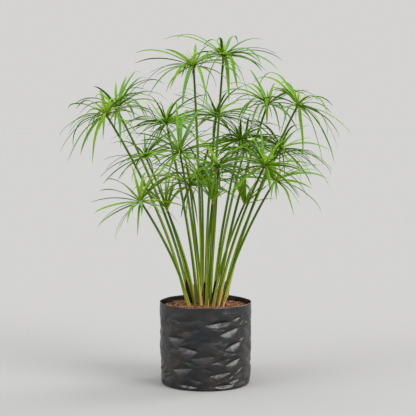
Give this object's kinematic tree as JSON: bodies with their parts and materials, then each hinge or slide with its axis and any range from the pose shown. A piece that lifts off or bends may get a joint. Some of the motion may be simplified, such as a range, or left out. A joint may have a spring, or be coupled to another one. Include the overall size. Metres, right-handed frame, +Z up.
{
  "type": "potted umbrella sedge",
  "caption": "Umbrella sedge in a crumpled black grow bag: a clump of tall leafless stems, each topped by an umbel of long arching bracts, standing in brown potting mix.",
  "frame": {"origin": "middle of the grow bag's flat base, on the surface that the bag stands on", "axes": "+Z up along the bag's axis, -Y towards the viewer, +X to the viewer's right"},
  "size_m": [0.4711, 0.4063, 0.5744],
  "materials": {
    "bag_film": "black polythene film, crumpled, soft sheen",
    "potting_mix": "loose reddish-brown coir and peat crumbs, dull",
    "stem_green": "smooth living green stem, finely ribbed, soft sheen",
    "bract_green": "living leaf green with fine parallel veins, soft sheen",
    "sheath_brown": "dry papery sheath, tan to reddish brown, dull",
    "joint_orange": "small orange-brown joint under each umbel, dull"
  },
  "bodies": {
    "root": {"grow_bag": "bag_film", "soil": "potting_mix", "stem_top_right": "stem_green", "stem_top_left": "stem_green", "stem_left_outer": "stem_green", "stem_left_inner": "stem_green", "stem_right_outer": "stem_green", "stem_right_inner": "stem_green", "stem_front_left": "stem_green", "stem_rear_left_high": "stem_green", "stem_rear_middle_high": "stem_green", "stem_rear_left_low": "stem_green", "stem_rear_right": "stem_green", "stem_middle_right": "stem_green", "stem_rear_right_inner": "stem_green", "stem_front_right": "stem_green", "stem_front_middle": "stem_green", "stem_rear_middle_low": "stem_green", "stem_middle_left": "stem_green", "stem_right_low": "stem_green", "stem_left_low": "stem_green", "stem_young_left": "stem_green", "stem_young_middle": "stem_green", "stem_young_right": "stem_green", "umbel_top_right": "bract_green", "umbel_top_left": "bract_green", "umbel_left_outer": "bract_green", "umbel_left_inner": "bract_green", "umbel_right_outer": "bract_green", "umbel_right_inner": "bract_green", "umbel_front_left": "bract_green", "umbel_rear_left_high": "bract_green", "umbel_rear_middle_high": "bract_green", "umbel_rear_left_low": "bract_green", "umbel_rear_right": "bract_green", "umbel_middle_right": "bract_green", "umbel_rear_right_inner": "bract_green", "umbel_front_right": "bract_green", "umbel_front_middle": "bract_green", "umbel_rear_middle_low": "bract_green", "umbel_middle_left": "bract_green", "umbel_right_low": "bract_green", "umbel_left_low": "bract_green", "umbel_young_left": "bract_green", "umbel_young_middle": "bract_green", "umbel_young_right": "bract_green"}
  },
  "joints": []
}
